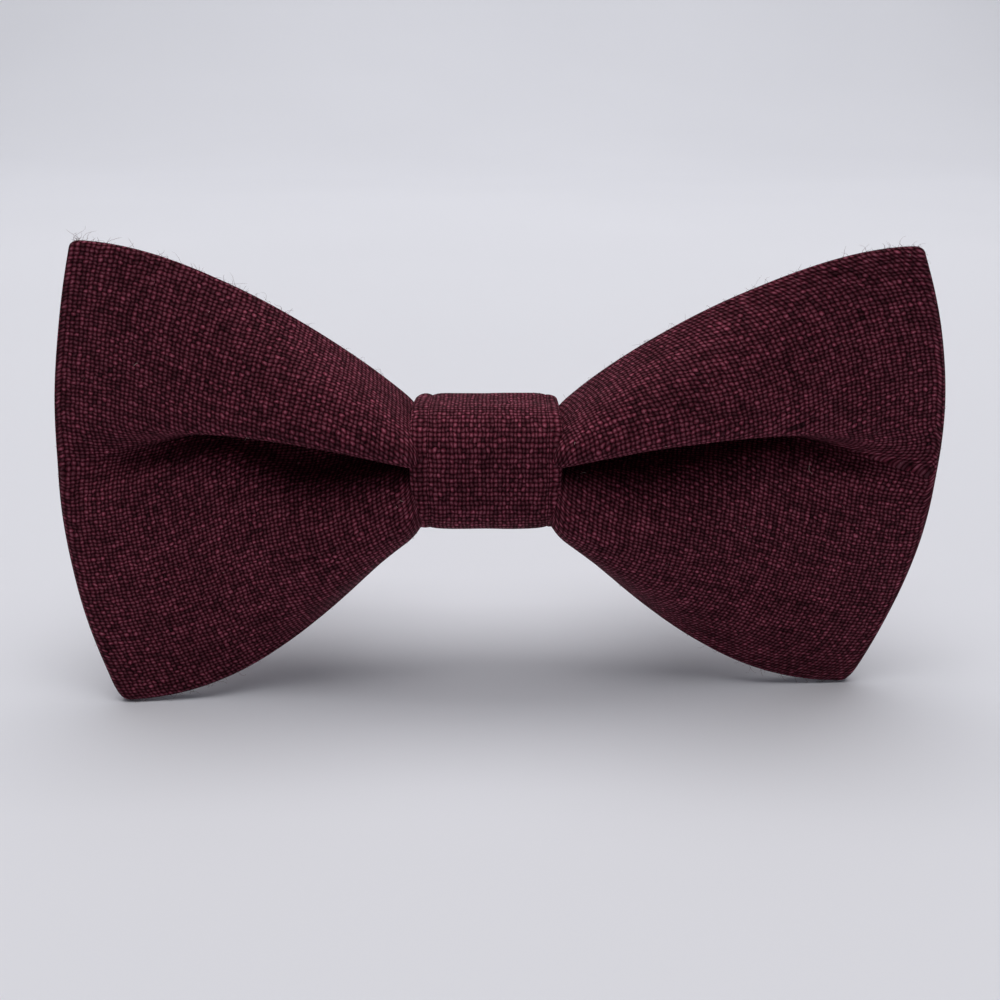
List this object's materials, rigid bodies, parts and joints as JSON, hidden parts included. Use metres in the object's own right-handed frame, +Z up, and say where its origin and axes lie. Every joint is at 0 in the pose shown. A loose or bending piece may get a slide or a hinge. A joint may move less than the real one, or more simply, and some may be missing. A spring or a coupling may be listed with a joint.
{
  "type": "bow tie",
  "caption": "Pre-tied linen bow tie: pleated double-layer bow, wrapped knot, and a folded adjustable neck band with slider, hook and eye.",
  "frame": {"origin": "below the middle of the bow, on the surface that its two lower wing corners stand on, at the middle of its depth", "axes": "+X along the bow to the wearer's left, +Y from the front of the bow to its back, +Z up"},
  "size_m": [0.12, 0.0296, 0.065],
  "materials": {
    "burgundy_linen": "plain-woven linen, matt, slubby",
    "stitching_thread": "spun sewing thread",
    "interlining": "woven interlining, undyed",
    "nickel": "nickel-plated, satin"
  },
  "bodies": {
    "bow": {"bow_fabric": "burgundy_linen", "bow_interlining": "interlining", "gathering_thread": "stitching_thread", "knot_wrap": "burgundy_linen", "knot_interlining": "interlining", "knot_closing_stitches": "stitching_thread", "neck_band_middle_fabric": "burgundy_linen", "neck_band_middle_interlining": "interlining"},
    "left_band": {"left_band_fabric": "burgundy_linen", "left_band_interlining": "interlining", "eye_bar_tack": "stitching_thread"},
    "eye": {"band_eye": "nickel"},
    "right_band": {"right_band_fabric": "burgundy_linen", "right_band_interlining": "interlining", "tail_hem_stitches": "stitching_thread"},
    "slider": {"band_slider": "nickel"},
    "hook": {"band_hook": "nickel"}
  },
  "joints": [
    {"name": "left_band_swing", "type": "hinge", "parent": "bow", "child": "left_band", "pos_m": [-0.0126, -0.0006, 0.0345], "axis": [0, 0, -1], "range_deg": [0, 70]},
    {"name": "right_band_swing", "type": "hinge", "parent": "bow", "child": "right_band", "pos_m": [0.0126, -0.0006, 0.0345], "axis": [0, 0, 1], "range_deg": [0, 70]},
    {"name": "eye_swivel", "type": "hinge", "parent": "left_band", "child": "eye", "pos_m": [-0.0492, 0.0115, 0.0345], "axis": [0, 0, -1], "range_deg": [-60, 90]},
    {"name": "hook_swivel", "type": "hinge", "parent": "right_band", "child": "hook", "pos_m": [0.0492, 0.0115, 0.0345], "axis": [0, 0, 1], "range_deg": [-60, 90]},
    {"name": "slider_slide", "type": "slide", "parent": "right_band", "child": "slider", "axis": [1, 0, 0], "range_m": [-0.006, 0.003]}
  ]
}
